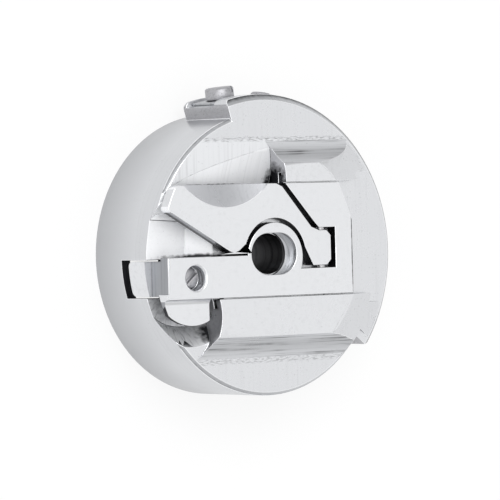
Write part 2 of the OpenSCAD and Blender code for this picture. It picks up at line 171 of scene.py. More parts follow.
@dataclass(frozen=True)
class PaintedShadeSpot:
    """Painted shade that sits in a corner, in a gap or round a part.

    Args:
        centre: Middle of the spot, in metres.
        reach: Half its length along each axis, in metres.
    """

    centre: tuple[float, float, float]
    reach: tuple[float, float, float]


@dataclass(frozen=True)
class WitnessLine:
    """The speckled line at which a cutter left the face.

    Args:
        along: Direction across the line.
        at: Distance of the line from the origin in that direction, in metres.
        width: Half the line's width, in metres.
        strength: Share by which its specks darken the steel.
    """

    along: tuple[float, float, float]
    at: float
    width: float
    strength: float = 0.45


@dataclass(frozen=True)
class Steel:
    """One finish of steel.

    Args:
        name: Name of the material.
        colour: Base colour, linear.
        roughness: Roughness of the clean surface.
        grain: Way of the tool marks.
        pitch: Distance between marks, in metres.
        depth: Height of the marks, in metres.
        centre: A point on the axis that rings and rays go round, in metres.
        patch: Share by which the marks fade in places.
        soil: Share by which the deepest marks darken the steel.
        specks: Share by which tiny specks darken it.
        metal: Share of bare metal, where the rest is a dull white bloom.
        shade_below: Painted shade below a height, if any.
        shade_spots: Spots of old oil.
        lines: Speckled lines.
    """

    name: str
    colour: tuple[float, float, float]
    roughness: float
    grain: Grain
    pitch: float
    depth: float
    centre: tuple[float, float, float] = (0.0, 0.0, 0.0)
    patch: float = 0.7
    soil: float = 0.15
    specks: float = 0.15
    metal: float = 1.0
    shade_below: PaintedShadeFilm | None = None
    shade_spots: tuple[PaintedShadeSpot, ...] = ()
    lines: tuple[WitnessLine, ...] = ()


def new_group(name: str, inputs: dict[str, tuple[str, object]],
              outputs: dict[str, str]) -> bpy.types.ShaderNodeTree:
    """Makes an empty shader node group with named sockets.

    Args:
        name: Name of the group.
        inputs: Socket type and default value of each input.
        outputs: Socket type of each output.

    Returns:
        The group, with its input and output nodes named "in" and "out".
    """
    tree = bpy.data.node_groups.new(name, "ShaderNodeTree")
    for label, (kind, default) in inputs.items():
        socket = tree.interface.new_socket(name=label, in_out="INPUT", socket_type=kind)
        if default is not None:
            socket.default_value = default
    for label, kind in outputs.items():
        tree.interface.new_socket(name=label, in_out="OUTPUT", socket_type=kind)
    tree.nodes.new("NodeGroupInput").name = "in"
    tree.nodes.new("NodeGroupOutput").name = "out"
    return tree


@dataclass
class NodeDesk:
    """Adds nodes to one tree and joins them.

    Args:
        tree: The tree that the nodes go into.
    """

    tree: bpy.types.NodeTree

    def add(self, kind: str, values: dict[str | int, object] | None = None,
            **settings: object) -> bpy.types.Node:
        """Adds a node.

        Args:
            kind: Type of the node.
            values: Input values by socket; another node's output socket is linked instead.
            settings: Attributes of the node.

        Returns:
            The new node.
        """
        node = self.tree.nodes.new(kind)
        for key, value in settings.items():
            setattr(node, key, value)
        self.fill(node, values or {})
        return node

    def fill(self, node: bpy.types.Node, values: dict[str | int, object]) -> None:
        """Sets or links a node's inputs."""
        for key, value in values.items():
            if isinstance(value, bpy.types.NodeSocket):
                self.tree.links.new(value, node.inputs[key])
            else:
                node.inputs[key].default_value = value

    def math(self, operation: str, a: object, b: object = 0.0) -> bpy.types.NodeSocket:
        """Adds a Math node and returns its result."""
        return self.add("ShaderNodeMath", {0: a, 1: b}, operation=operation).outputs[0]

    def group(self, tree: bpy.types.NodeTree, values: dict[str | int, object]) -> bpy.types.Node:
        """Adds a group node with its input values."""
        node = self.tree.nodes.new("ShaderNodeGroup")
        node.node_tree = tree
        self.fill(node, values)
        return node

    def given(self, label: str) -> bpy.types.NodeSocket:
        """An input of the group that this desk builds."""
        return self.tree.nodes["in"].outputs[label]

    def give(self, label: str, source: bpy.types.NodeSocket) -> None:
        """Links an output of the group that this desk builds."""
        self.tree.links.new(source, self.tree.nodes["out"].inputs[label])

    def noise(self, vector: bpy.types.NodeSocket, scale: object, detail: float = 2.0) -> bpy.types.NodeSocket:
        """Adds a Noise node and returns its value."""
        node = self.add("ShaderNodeTexNoise", {"Vector": vector, "Scale": scale, "Detail": detail})
        return node.outputs["Fac"]

    def ramp(self, value: object, low: object, high: object, start: float = 0.0,
             end: float = 1.0) -> bpy.types.NodeSocket:
        """Maps a value from low..high to start..end, clamped, and returns it."""
        node = self.add("ShaderNodeMapRange", {0: value, 1: low, 2: high, 3: start, 4: end})
        return node.outputs[0]


class SteelShop:
    """Builds the shared shader groups once and makes materials from them."""

    def __init__(self) -> None:
        """Builds the groups."""
        self.ring_space = self._ring_space()
        self.tool_marks = self._tool_marks()
        self.hand_wear = self._hand_wear()
        self.painted_shade_film = self._painted_shade_film()
        self.painted_shade_spot = self._painted_shade_spot()
        self.witness_line = self._witness_line()
        self.made: dict[str, bpy.types.Material] = {}

    def _ring_space(self) -> bpy.types.ShaderNodeTree:
        """Coordinates that only change away from the Z axis and along it."""
        tree = new_group("ring_space", {"Vector": ("NodeSocketVector", None)}, {"Vector": "NodeSocketVector"})
        desk = NodeDesk(tree)
        parts = desk.add("ShaderNodeSeparateXYZ", {0: desk.given("Vector")})
        flat = desk.add("ShaderNodeCombineXYZ", {0: parts.outputs[0], 1: parts.outputs[1]})
        radius = desk.add("ShaderNodeVectorMath", {0: flat.outputs[0]}, operation="LENGTH")
        space = desk.add("ShaderNodeCombineXYZ", {0: radius.outputs["Value"], 1: parts.outputs[2]})
        desk.give("Vector", space.outputs[0])
        return tree

    def _tool_marks(self) -> bpy.types.ShaderNodeTree:
        """Fine marks across a stretched space, strong in some places and faint in others."""
        inputs = {
            "Across": ("NodeSocketVector", None),
            "Place": ("NodeSocketVector", None),
            "Fineness": ("NodeSocketFloat", 10000.0),
            "Patch": ("NodeSocketFloat", 0.5),
        }
        tree = new_group("tool_marks", inputs, {"Height": "NodeSocketFloat", "Deep": "NodeSocketFloat"})
        desk = NodeDesk(tree)
        fine = desk.noise(desk.given("Across"), desk.given("Fineness"), 3.0)
        strength = desk.ramp(desk.noise(desk.given("Place"), 420.0, 3.0), 0.35, 0.65)
        faded = desk.math("SUBTRACT", 1.0, desk.given("Patch"))
        eased = desk.math("ADD", faded, desk.math("MULTIPLY", strength, desk.given("Patch")))
        desk.give("Height", desk.math("MULTIPLY", fine, eased))
        desk.give("Deep", desk.math("MULTIPLY", desk.ramp(fine, 0.5, 0.7), eased))
        return tree

    def _hand_wear(self) -> bpy.types.ShaderNodeTree:
        """Cloudy dulling and tiny specks, as handling leaves them."""
        tree = new_group(
            "hand_wear",
            {"Place": ("NodeSocketVector", None)},
            {"Dull": "NodeSocketFloat", "Specks": "NodeSocketFloat", "Satin": "NodeSocketFloat"},
        )
        desk = NodeDesk(tree)
        place = desk.given("Place")
        desk.give("Dull", desk.ramp(desk.noise(place, 260.0, 4.0), 0.3, 0.7))
        desk.give("Specks", desk.ramp(desk.noise(place, 5200.0, 1.0), 0.66, 0.78))
        desk.give("Satin", desk.noise(place, 9000.0, 2.0))
        return tree

    def _painted_shade_film(self) -> bpy.types.ShaderNodeTree:
        """A mask that is full below one height and gone above another."""
        inputs = {
            "Place": ("NodeSocketVector", None),
            "Full": ("NodeSocketFloat", 0.0),
            "Gone": ("NodeSocketFloat", 0.001),
        }
        tree = new_group("painted_shade_film", inputs, {"Mask": "NodeSocketFloat"})
        desk = NodeDesk(tree)
        height = desk.add("ShaderNodeSeparateXYZ", {0: desk.given("Place")}).outputs[2]
        wander = desk.ramp(desk.noise(desk.given("Place"), 2500.0), 0.0, 1.0, -0.1 * MM, 0.1 * MM)
        level = desk.math("ADD", height, wander)
        desk.give("Mask", desk.ramp(level, desk.given("Full"), desk.given("Gone"), 1.0, 0.0))
        return tree

    def _painted_shade_spot(self) -> bpy.types.ShaderNodeTree:
        """A mask that is full in the middle of a spot and fades to its rim."""
        inputs = {
            "Place": ("NodeSocketVector", None),
            "Centre": ("NodeSocketVector", (0.0, 0.0, 0.0)),
            "Reach": ("NodeSocketVector", (MM, MM, MM)),
        }
        tree = new_group("painted_shade_spot", inputs, {"Mask": "NodeSocketFloat"})
        desk = NodeDesk(tree)
        ends = {0: desk.given("Place"), 1: desk.given("Centre")}
        off = desk.add("ShaderNodeVectorMath", ends, operation="SUBTRACT")
        share = desk.add("ShaderNodeVectorMath", {0: off.outputs[0], 1: desk.given("Reach")}, operation="DIVIDE")
        away = desk.add("ShaderNodeVectorMath", {0: share.outputs[0]}, operation="LENGTH").outputs["Value"]
        ragged = desk.ramp(desk.noise(desk.given("Place"), 2200.0, 4.0), 0.0, 1.0, -0.4, 0.4)
        desk.give("Mask", desk.ramp(desk.math("ADD", away, ragged), 0.5, 1.0, 1.0, 0.0))
        return tree

    def _witness_line(self) -> bpy.types.ShaderNodeTree:
        """Specks and short dashes along a line."""
        inputs = {
            "Place": ("NodeSocketVector", None),
            "Along": ("NodeSocketVector", (0.0, 1.0, 0.0)),
            "At": ("NodeSocketFloat", 0.0),
            "Width": ("NodeSocketFloat", 0.1 * MM),
        }
        tree = new_group("witness_line", inputs, {"Mask": "NodeSocketFloat"})
        desk = NodeDesk(tree)
        place = desk.given("Place")
        along = desk.add("ShaderNodeVectorMath", {0: place, 1: desk.given("Along")}, operation="DOT_PRODUCT")
        wander = desk.ramp(desk.noise(place, 500.0, 3.0), 0.0, 1.0, -0.07 * MM, 0.07 * MM)
        met = desk.math("ADD", along.outputs["Value"], wander)
        off = desk.math("ABSOLUTE", desk.math("SUBTRACT", met, desk.given("At")))
        near = desk.math("SUBTRACT", 1.0, desk.math("DIVIDE", off, desk.given("Width")))
        stretched = desk.add("ShaderNodeVectorMath", {0: place, 1: (0.22, 1.0, 1.0)}, operation="MULTIPLY")
        broken = desk.ramp(desk.noise(stretched.outputs[0], 9000.0, 4.0), 0.46, 0.62)
        desk.give("Mask", desk.math("MULTIPLY", desk.ramp(near, 0.0, 0.5), broken))
        return tree

    def material(self, steel: Steel) -> bpy.types.Material:
        """Makes the material of one finish, or returns the one made before.

        Args:
            steel: The finish.

        Returns:
            The material.
        """
        if steel.name in self.made:
            return self.made[steel.name]
        made = bpy.data.materials.new(steel.name)
        made.use_nodes = True
        made.node_tree.nodes.clear()
        desk = NodeDesk(made.node_tree)
        place = desk.add("ShaderNodeTexCoord").outputs["Object"]
        marks = desk.group(self.tool_marks, {
            "Across": self._across(desk, place, steel),
            "Place": place,
            "Fineness": 1.0 / steel.pitch,
            "Patch": steel.patch,
        })
        wear = desk.group(self.hand_wear, {"Place": place})
        soiled = desk.math("MULTIPLY", marks.outputs["Deep"], steel.soil)
        speckled = desk.math("MULTIPLY", wear.outputs["Specks"], steel.specks)
        dark = desk.math("MAXIMUM", soiled, speckled)
        # Soil and specks are real marks; the masks added here also bring painted shade.
        for mask in self._dark_places(desk, place, steel):
            dark = desk.math("MAXIMUM", dark, mask)
        colour = desk.add("ShaderNodeMix", {0: dark, 6: (*steel.colour, 1.0), 7: DIRT_AND_SHADE_COLOUR}, data_type="RGBA")
        rough = desk.math("ADD", desk.math("MULTIPLY", wear.outputs["Dull"], 0.1), steel.roughness)
        height = desk.math("ADD", marks.outputs["Height"], desk.math("MULTIPLY", wear.outputs["Satin"], 0.12))
        bump = desk.add("ShaderNodeBump", {"Height": height, "Distance": steel.depth, "Strength": 1.0})
        shader = desk.add("ShaderNodeBsdfPrincipled", {
            "Base Color": colour.outputs[2],
            "Roughness": rough,
            "Normal": bump.outputs[0],
            "Metallic": steel.metal,
        })
        desk.add("ShaderNodeOutputMaterial", {"Surface": shader.outputs[0]})
        self.made[steel.name] = made
        return made

    def _dark_places(self, desk: NodeDesk, place: bpy.types.NodeSocket,
                     steel: Steel) -> list[bpy.types.NodeSocket]:
        """Masks of a finish's painted shade film, painted shade patches and witness lines."""
        masks = []
        # Painted shade below a height.
        if steel.shade_below:
            film = desk.group(self.painted_shade_film, {"Place": place, "Full": steel.shade_below.full, "Gone": steel.shade_below.gone})
            masks.append(film.outputs["Mask"])
        # Patches of painted shade.
        for spot in steel.shade_spots:
            shade_mask = desk.group(self.painted_shade_spot, {"Place": place, "Centre": spot.centre, "Reach": spot.reach})
            masks.append(shade_mask.outputs["Mask"])
        for line in steel.lines:
            values = {"Place": place, "Along": line.along, "At": line.at, "Width": line.width}
            masks.append(desk.math("MULTIPLY", desk.group(self.witness_line, values).outputs["Mask"], line.strength))
        return masks

    def _across(self, desk: NodeDesk, place: bpy.types.NodeSocket, steel: Steel) -> bpy.types.NodeSocket:
        """Coordinates in which the marks of a finish lie close together.

        Args:
            desk: Desk of the material.
            place: Object coordinates.
            steel: The finish.

        Returns:
            The socket with the stretched coordinates.
        """
        centred = desk.add("ShaderNodeVectorMath", {0: place, 1: steel.centre}, operation="SUBTRACT").outputs[0]
        if steel.grain is Grain.RINGS:
            return desk.group(self.ring_space, {"Vector": centred}).outputs["Vector"]
        if steel.grain is Grain.RAYS:
            direction = desk.add("ShaderNodeVectorMath", {0: centred}, operation="NORMALIZE").outputs[0]
            return desk.add("ShaderNodeVectorMath", {0: direction, 1: RAY_SPREAD}, operation="MULTIPLY").outputs[0]
        stretched = {0: centred, 1: STRETCH[steel.grain]}
        return desk.add("ShaderNodeVectorMath", stretched, operation="MULTIPLY").outputs[0]


def is_corner(edge: bmesh.types.BMEdge) -> bool:
    """True where two surfaces meet at a corner, and not two facets of one round surface.

    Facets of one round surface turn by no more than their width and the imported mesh's
    tolerance ask for.
    """
    if len(edge.link_faces) != 2:
        return False
    angle = edge.calc_face_angle(0.0)
    width = min(face.calc_area() for face in edge.link_faces) / edge.calc_length()
    return angle > SMOOTH_TURN and width * angle > FACET_STEP


def anywhere(middle: Vector, along: Vector) -> bool:
    """Picks every corner."""
    return True


@dataclass(frozen=True)
class Softening:
    """One round of softened edges.

    Args:
        width: Width of the softened edges, in metres.
        steps: Number of facets across them.
        where: Says from an edge's middle and direction whether it is softened.
    """

    width: float
    steps: int = 2
    where: Callable[[Vector, Vector], bool] = anywhere


@dataclass(frozen=True)
class Cut:
    """A line at which a flat face is cut in two, so that each side can have its own finish.

    Args:
        across: Direction across the line.
        at: Distance of the line from the origin in that direction, in metres.
        level: Height of the flat face, in metres.
    """

    across: tuple[float, float, float]
    at: float
    level: float = 0.0

    def make(self, work: bmesh.types.BMesh) -> None:
        """Cuts the flat faces of a mesh at this height."""
        flat = []
        for face in work.faces:
            if face.normal.z > 0.999 and abs(face.calc_center_median().z - self.level) < 0.01 * MM:
                flat.append(face)
        edges = {edge for face in flat for edge in face.edges}
        corners = {corner for face in flat for corner in face.verts}
        bmesh.ops.bisect_plane(work, geom=[*corners, *edges, *flat], dist=0.001 * MM,
                               plane_co=Vector(self.across) * self.at, plane_no=self.across)


def machined_copy(node: str, name: str, rounds: tuple[Softening, ...],
                  merge: float = 0.03 * MM, cuts: tuple[Cut, ...] = ()) -> bpy.types.Object:
    """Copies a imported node, merges its loose triangles and softens its sharp edges.

    Args:
        node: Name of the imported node.
        name: Name of the new piece.
        rounds: The edges to soften, one round after the other.
        merge: Distance within which corners become one, in metres.
        cuts: Lines at which flat faces are cut, so that each side can have its own finish.

    Returns:
        The new piece, as a plain mesh.
    """
    source = frame["nodes"][node]
    work = bmesh.new()
    work.from_mesh(source.data)
    bmesh.ops.remove_doubles(work, verts=work.verts, dist=merge)
    bmesh.ops.dissolve_degenerate(work, edges=work.edges, dist=merge)
    bmesh.ops.dissolve_limit(work, angle_limit=FLAT_TURN, verts=work.verts, edges=work.edges)
    softened = work.faces.layers.int.new(SOFTENED)
    for soft in rounds:
        chosen = []
        for edge in work.edges:
            start, end = (corner.co for corner in edge.verts)
            if is_corner(edge) and soft.where((start + end) / 2, (end - start).normalized()):
                chosen.append(edge)
        strips = bmesh.ops.bevel(work, geom=chosen, offset=soft.width, offset_type="OFFSET", segments=soft.steps,
                                 profile=0.5, affect="EDGES", clamp_overlap=False)
        for face in strips["faces"]:
            face[softened] = 1
    for cut in cuts:
        cut.make(work)
    bmesh.ops.triangulate(work, faces=[face for face in work.faces if len(face.verts) > 4])
    for face in work.faces:
        face.smooth = True
    for edge in work.edges:
        edge.smooth = edge.calc_face_angle(0.0) < CREASE_TURN
    mesh = bpy.data.meshes.new(name)
    work.to_mesh(mesh)
    work.free()
    piece = bpy.data.objects.new(name, mesh)
    bpy.context.scene.collection.objects.link(piece)
    even = piece.modifiers.new("even_shading", "WEIGHTED_NORMAL")
    even.mode = "FACE_AREA_WITH_ANGLE"
    even.weight = 90
    even.keep_sharp = True
    bake_modifiers(piece)
    return piece


def bake_modifiers(piece: bpy.types.Object) -> None:
    """Turns a piece's modifiers into plain mesh."""
    bpy.context.view_layer.update()
    shape = piece.evaluated_get(bpy.context.evaluated_depsgraph_get())
    mesh = bpy.data.meshes.new_from_object(shape)
    piece.modifiers.clear()
    piece.data = mesh


def seat(piece: bpy.types.Object, node: str) -> None:
    """Gives a finished piece to the body of the node that it stands for.

    Args:
        piece: The finished piece.
        node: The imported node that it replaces.
    """
    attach(piece, frame["nodes"][node]["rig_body"])
    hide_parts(node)


def dress(piece: bpy.types.Object, finishes: dict[Region, bpy.types.Material],
          region: Callable[[Vector, Vector], Region]) -> None:
    """Gives each face of a piece the material of its region.

    Args:
        piece: The piece.
        finishes: The material of each region.
        region: Says from a face's centre and normal, in metres, which region it is in.
    """
    piece.data.materials.clear()
    order = list(finishes)
    for name in order:
        piece.data.materials.append(finishes[name])
    marks = piece.data.attributes[SOFTENED].data
    for polygon in piece.data.polygons:
        found = region(polygon.center, polygon.normal)
        if marks[polygon.index].value and abs(polygon.normal.z) < SHALLOW:
            found = DULL_EDGES.get(found, Region.EDGE)
        polygon.material_index = order.index(found)


@dataclass(frozen=True)
class Winding:
    """A wire or a thread that winds round a straight axis.

    Args:
        start: Where the axis starts, in metres.
        turned: Rotation that lays the Z axis on the winding's axis, in radians.
        radius: Distance from the axis to the middle of the wire, in metres.
        length: Length from the first turn to the last, in metres.
        pitch: Length of one turn along the axis, in metres.
        wire: Radius of the wire, or height of the thread, in metres.
        sides: Number of sides round the wire.
        steps: Number of steps in one turn.
    """

    start: tuple[float, float, float]
    turned: tuple[float, float, float]
    radius: float
    length: float
    pitch: float
    wire: float
    sides: int = 10
    steps: int = 28


class WindingMill:
    """Winds wires and threads with one Geometry Nodes tree."""

    def __init__(self) -> None:
        """Builds the tree."""
        self.tree = bpy.data.node_groups.new("winding", "GeometryNodeTree")
        self.sockets: dict[str, str] = {}
        kinds = {
            "Geometry": "NodeSocketGeometry",
            "Start": "NodeSocketVector",
            "Turned": "NodeSocketVector",
            "Radius": "NodeSocketFloat",
            "Length": "NodeSocketFloat",
            "Turns": "NodeSocketFloat",
            "Wire": "NodeSocketFloat",
            "Sides": "NodeSocketInt",
            "Steps": "NodeSocketInt",
            "Material": "NodeSocketMaterial",
        }
        for label, kind in kinds.items():
            socket = self.tree.interface.new_socket(name=label, in_out="INPUT", socket_type=kind)
            self.sockets[label] = socket.identifier
        self.tree.interface.new_socket(name="Geometry", in_out="OUTPUT", socket_type="NodeSocketGeometry")
        self.tree.nodes.new("NodeGroupInput").name = "in"
        self.tree.nodes.new("NodeGroupOutput").name = "out"
        self._join_up(NodeDesk(self.tree))

    def _join_up(self, desk: NodeDesk) -> None:
        """Adds the tree's nodes: a spiral, a wire along it, and the piece that it sits on."""
        spiral = desk.add("GeometryNodeCurveSpiral", {
            "Resolution": desk.given("Steps"),
            "Rotations": desk.given("Turns"),
            "Start Radius": desk.given("Radius"),
            "End Radius": desk.given("Radius"),
            "Height": desk.given("Length"),
        })
        level = desk.add("GeometryNodeSetCurveNormal", {"Curve": spiral.outputs[0]}, mode="Z_UP")
        outline = {"Resolution": desk.given("Sides"), "Radius": desk.given("Wire")}
        section = desk.add("GeometryNodeCurvePrimitiveCircle", outline)
        wire = desk.add("GeometryNodeCurveToMesh", {
            "Curve": level.outputs[0],
            "Profile Curve": section.outputs[0],
            "Fill Caps": True,
        })
        laid = desk.add("GeometryNodeTransform", {
            "Geometry": wire.outputs[0],
            "Translation": desk.given("Start"),
            "Rotation": desk.given("Turned"),
        })
        smooth = desk.add("GeometryNodeSetShadeSmooth", {"Geometry": laid.outputs[0]})
        whole = desk.add("GeometryNodeJoinGeometry", {"Geometry": smooth.outputs[0]})
        self.tree.links.new(desk.given("Geometry"), whole.inputs["Geometry"])
        real = desk.add("GeometryNodeRealizeInstances", {"Geometry": whole.outputs[0]})
        finish = {"Geometry": real.outputs[0], "Material": desk.given("Material")}
        desk.give("Geometry", desk.add("GeometryNodeSetMaterial", finish).outputs[0])

    def wind(self, piece: bpy.types.Object, winding: Winding, material: bpy.types.Material) -> None:
        """Winds a wire or a thread on a piece and turns the whole into plain mesh.

        Args:
            piece: The piece, which may be empty.
            winding: Sizes and place of the winding.
            material: Finish of the piece.
        """
        maker = piece.modifiers.new("winding", "NODES")
        maker.node_group = self.tree
        values = {
            "Start": winding.start,
            "Turned": winding.turned,
            "Radius": winding.radius,
            "Length": winding.length,
            "Turns": winding.length / winding.pitch,
            "Wire": winding.wire,
            "Sides": winding.sides,
            "Steps": winding.steps,
            "Material": material,
        }
        for label, value in values.items():
            maker[self.sockets[label]] = value
        bake_modifiers(piece)


@dataclass
class CaseBody:
    """The case itself, with a finish for each way in which it was machined.

    Args:
        shop: Makes the materials.
        edge: Width of its softened edges, in metres.
        bore_r: Radius within which faces belong to the stud bore, in metres.
        drum_r: Radius of the drum, in metres.
        plate_t: Thickness of its face plate, in metres.
        rail_h: Height of the rails, in metres.
        rim_h: Depth within which sloping faces belong to the rim's bevel, in metres.
        sink_x: Middle of the countersink along the slide, in metres.
        sink_y: Middle of the countersink across the slide, in metres.
        sink_r: Radius of the countersink, in metres.
        sink_end: Place along the slide where the countersink beside the lever ends, in metres.
        ramp: Length of the ramp that leads out of it, in metres.
        corner_x: Place along the slide beyond which its wall lies back, in metres.
        corner_run: Length over which that grows, in metres.
        corner_push: How far its wall lies back at the drum's edge, in metres.
        tip_top: Place across the slide below which the rim is shoulder, in metres.
        line_y: Place across the slide of the upper line that the cutter left, in metres.
        lever_y: Place across the slide of the lever's upper edge, in metres.
        horn_x: Place along the slide where the upper rail's end stands, in metres.
        guide_x: Place along the slide beyond which its guide walls begin, in metres.
        notch_x: Place along the slide where the tongue's notch begins, in metres.
        notch_w: Width within which walls belong to the notch, in metres.
        notch_h: Depth within which they do, in metres.
    """

    shop: SteelShop
    edge: float = 0.05 * MM
    bore_r: float = 2.2 * MM
    drum_r: float = 13.3 * MM
    plate_t: float = 2.8 * MM
    rail_h: float = 1.2 * MM
    rim_h: float = 0.45 * MM
    sink_x: float = -9.3 * MM
    sink_y: float = -2.025 * MM
    sink_r: float = 6.5 * MM
    sink_end: float = -6.5 * MM
    ramp: float = 2.4 * MM
    corner_x: float = -9.5 * MM
    corner_run: float = 3.2 * MM
    corner_push: float = 1.8 * MM
    tip_top: float = 5.9 * MM
    line_y: float = 10.75 * MM
    lever_y: float = 6.5 * MM
    horn_x: float = 1.5 * MM
    guide_x: float = -5.5 * MM
    notch_x: float = -10.5 * MM
    notch_w: float = 3.75 * MM
    notch_h: float = 5.02 * MM

    def finishes(self) -> dict[Region, Steel]:
        """The finish of each region."""
        sink = (self.sink_x, self.sink_y, 0.0)
        upper_line = WitnessLine((0.0, 1.0, 0.0), self.line_y, 0.3 * MM, 0.4)
        lower_line = WitnessLine((0.0, 1.0, 0.0), -9.9 * MM, 0.35 * MM, 0.35)
        # Painted shade: beside the lever's point, along the arm, at the horn, along the lever's edge, in the
        # countersink and round the lug.
        chin_painted_shade = PaintedShadeSpot((-4.1 * MM, 0.2 * MM, 0.0), (1.8 * MM, 0.6 * MM, 1.3 * MM))
        arm_painted_shade = PaintedShadeSpot((-7.6 * MM, -0.1 * MM, -0.5 * MM), (5.4 * MM, 0.42 * MM, 1.5 * MM))
        horn_painted_shade = PaintedShadeSpot((1.5 * MM, 6.2 * MM, -0.6 * MM), (1.2 * MM, 2.7 * MM, 2.2 * MM))
        horn_foot_painted_shade = PaintedShadeSpot((1.5 * MM, 6.4 * MM, -0.9 * MM), (1.1 * MM, 1.9 * MM, 1.6 * MM))
        lever_seam_painted_shade = PaintedShadeSpot((-4.5 * MM, 6.47 * MM, -0.3 * MM), (7.2 * MM, 0.26 * MM, 1.6 * MM))
        rail_foot_painted_shade = PaintedShadeSpot((-5.7 * MM, -5.5 * MM, -1.0 * MM), (0.9 * MM, 1.4 * MM, 1.2 * MM))
        sink_corner_painted_shade = PaintedShadeSpot((-6.2 * MM, -7.3 * MM, -0.8 * MM), (2.0 * MM, 1.5 * MM, 1.8 * MM))
        lug_painted_shadow = PaintedShadeSpot((-7.5 * MM, -2.0 * MM, -1.9 * MM), (5.1 * MM, 5.1 * MM, 2.2 * MM))
        return {
            Region.FACE: Steel("case_face", (0.75, 0.76, 0.78), 0.22, Grain.ALONG_Y, 0.3 * MM, 0.0012 * MM,
                               soil=0.05, specks=0.25, shade_spots=(chin_painted_shade, arm_painted_shade),
                               lines=(upper_line, lower_line)),
            # Lighter than the face: partly worn bright, partly painted highlight.
            Region.EDGE: Steel("case_edge", (0.90, 0.91, 0.93), 0.16, Grain.CLOUDS, 0.3 * MM, 0.0005 * MM,
                               soil=0.1),
            Region.FLANK: Steel("case_flank", (0.66, 0.67, 0.69), 0.26, Grain.ALONG_X, 0.2 * MM, 0.005 * MM,
                                soil=0.8, lines=(upper_line, lower_line)),
            Region.RAIL: Steel("case_rail", (0.79, 0.8, 0.82), 0.2, Grain.CLOUDS, 0.5 * MM, 0.0015 * MM,
                               soil=0.05),
            Region.RECESS: Steel("case_recess", (0.9, 0.91, 0.93), 0.4, Grain.DOWN_Y, 0.3 * MM, 0.003 * MM,
                                 soil=0.12, metal=0.1, shade_spots=(horn_foot_painted_shade, lever_seam_painted_shade), lines=(upper_line,)),
            Region.RECESS_TOP: Steel("case_recess_top", (0.785, 0.795, 0.815), 0.4, Grain.DOWN_Y, 0.3 * MM,
                                     0.003 * MM, soil=0.16, metal=0.6, shade_spots=(lever_seam_painted_shade,), lines=(upper_line,)),
            Region.SHOULDER: Steel("case_shoulder", (0.94, 0.95, 0.97), 0.45, Grain.CLOUDS, 0.3 * MM,
                                   0.002 * MM, soil=0.05, metal=0.2, shade_spots=(chin_painted_shade, arm_painted_shade)),
            Region.END_WALL: Steel("case_end_wall", (0.7, 0.7, 0.72), 0.25, Grain.CLOUDS, 0.3 * MM,
                                   0.003 * MM, shade_spots=(horn_painted_shade, rail_foot_painted_shade)),
            Region.SINK: Steel("case_sink", (0.8, 0.81, 0.83), 0.38, Grain.RAYS, 0.2 * MM, 0.006 * MM, sink,
                               soil=0.65, metal=0.6, shade_spots=(rail_foot_painted_shade, sink_corner_painted_shade, lug_painted_shadow)),
            # The film darkens the drum's wall towards its bottom as painted shade.
            Region.WALL: Steel("case_wall", (0.66, 0.67, 0.69), 0.28, Grain.RINGS, 0.2 * MM, 0.002 * MM,
                               soil=0.08, shade_below=PaintedShadeFilm(-23.0 * MM, -3.0 * MM)),
            # The rim's dark colour and the film on its lower part are painted shade.
            Region.RIM: Steel("case_rim", (0.56, 0.57, 0.59), 0.24, Grain.CLOUDS, 0.3 * MM, 0.001 * MM,
                              soil=0.1, shade_below=PaintedShadeFilm(-0.5 * MM, -0.15 * MM)),
            # The land end's dark colour is painted shade under the leaf and the screws.
            Region.STEP: Steel("case_step", (0.46, 0.46, 0.48), 0.34, Grain.CLOUDS, 0.1 * MM, 0.004 * MM,
                               patch=0.4, soil=0.7, specks=0.5),
            # Near-black colour: painted shade down the stud bore.
            Region.BORE: Steel("case_bore_painted_shade", (0.09, 0.09, 0.095), 0.35, Grain.RINGS, 0.5 * MM, 0.012 * MM,
                               patch=0.3, soil=0.9),
            Region.INSIDE: Steel("case_inside", (0.7, 0.71, 0.73), 0.3, Grain.RINGS, 0.22 * MM, 0.006 * MM),
            # Near-black colour: painted shade in narrow gaps.
            Region.GAP: Steel("case_gap_painted_shade", (0.035, 0.035, 0.04), 0.4, Grain.CLOUDS, 0.2 * MM, 0.002 * MM),
        }

    def region(self, at: Vector, normal: Vector) -> Region:
        """The region that a small face belongs to.

        Args:
            at: Centre of the face.
            normal: Its normal.

        Returns:
            The region.
        """
        radius = math.hypot(at.x, at.y)
        upright = abs(normal.z) < 0.3
        if radius < self.bore_r and upright:
            return Region.BORE
        if self._in_notch(at, normal):
            return Region.GAP
        if radius > self.drum_r - 0.3 * MM and upright:
            outward = (at.x * normal.x + at.y * normal.y) / radius
            return Region.WALL if outward > 0.5 else Region.STEP
        if at.z < -self.plate_t + 0.01 * MM:
            return Region.INSIDE
        sloping = SLOPING[0] < normal.z < SLOPING[1]
        if radius > self.drum_r - 1.0 * MM and sloping and at.z > -self.rim_h:
            by_tip = at.x < self.corner_x and self.sink_y < at.y < self.tip_top
            return Region.SHOULDER if by_tip else Region.RIM
        if at.z > self.rail_h - 0.02 * MM:
            return Region.RAIL
        if math.hypot(at.x - self.sink_x, at.y - self.sink_y) < self.sink_r:
            if at.y > self.sink_y:
                return Region.SHOULDER if at.z < -0.003 * MM else Region.FACE
            if upright and normal.x < -0.2:
                return Region.END_WALL
            return Region.SINK if at.z < -0.01 * MM else Region.FACE
        if at.x < self.horn_x and self.lever_y < at.y < self.line_y and normal.z > 0.999:
            return Region.RECESS_TOP
        if upright and abs(normal.y) > 0.95 and at.x > self.guide_x:
            return Region.GAP
        if upright and at.x < 3.0 * MM and normal.x < -0.1:
            return Region.END_WALL
        if at.x < 1.6 * MM and at.y > 0.0 and at.z < -0.005 * MM:
            return Region.RECESS
        if abs(normal.x) < 0.12 and abs(normal.y) > 0.03 and abs(at.y) > 4.0 * MM and at.z > -0.2 * MM:
            return Region.FLANK
        return Region.FACE

